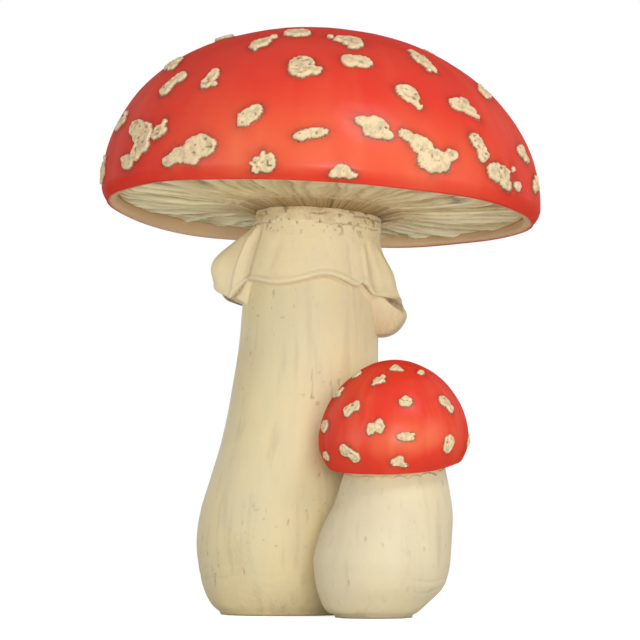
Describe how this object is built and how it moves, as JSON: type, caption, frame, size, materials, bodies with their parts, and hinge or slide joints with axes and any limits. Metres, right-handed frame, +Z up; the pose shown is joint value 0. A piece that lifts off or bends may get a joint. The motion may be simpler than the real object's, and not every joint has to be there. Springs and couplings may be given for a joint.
{
  "type": "mushroom ornament",
  "caption": "Painted toadstool pair: a wide domed cap with raised patches and gills on a skirted, swollen stem, with a small toadstool nested at its foot.",
  "frame": {"origin": "on the ground, under the middle of the large cap", "axes": "+Z up, +X to the viewer's right with the small toadstool in front, the viewer on the -Y side"},
  "size_m": [0.3056, 0.3096, 0.4035],
  "materials": {
    "cap_red": "painted orange-red with a gloss coat",
    "gill_cream": "painted khaki cream with brown wash in the folds",
    "stem_cream": "painted cream with brown wash, satin",
    "zinc_steel": "zinc plated",
    "plug_resin": "bare filler, matt",
    "pad_felt": "pale felt"
  },
  "bodies": {
    "root": {"large_cap": "cap_red", "large_gill_disc": "gill_cream", "large_skirt": "stem_cream", "large_stem": "stem_cream", "large_tie_rod": "zinc_steel", "large_upper_washer": "zinc_steel", "large_upper_nut": "zinc_steel", "large_lower_washer": "zinc_steel", "large_lower_nut": "zinc_steel", "large_base_plug": "plug_resin", "large_base_pad": "pad_felt", "small_cap": "cap_red", "small_veil_disc": "gill_cream", "small_stem": "stem_cream", "small_dowel": "zinc_steel", "small_base_plug": "plug_resin", "small_base_pad": "pad_felt", "stem_link_pin_lower": "zinc_steel", "stem_link_pin_upper": "zinc_steel"}
  },
  "joints": []
}
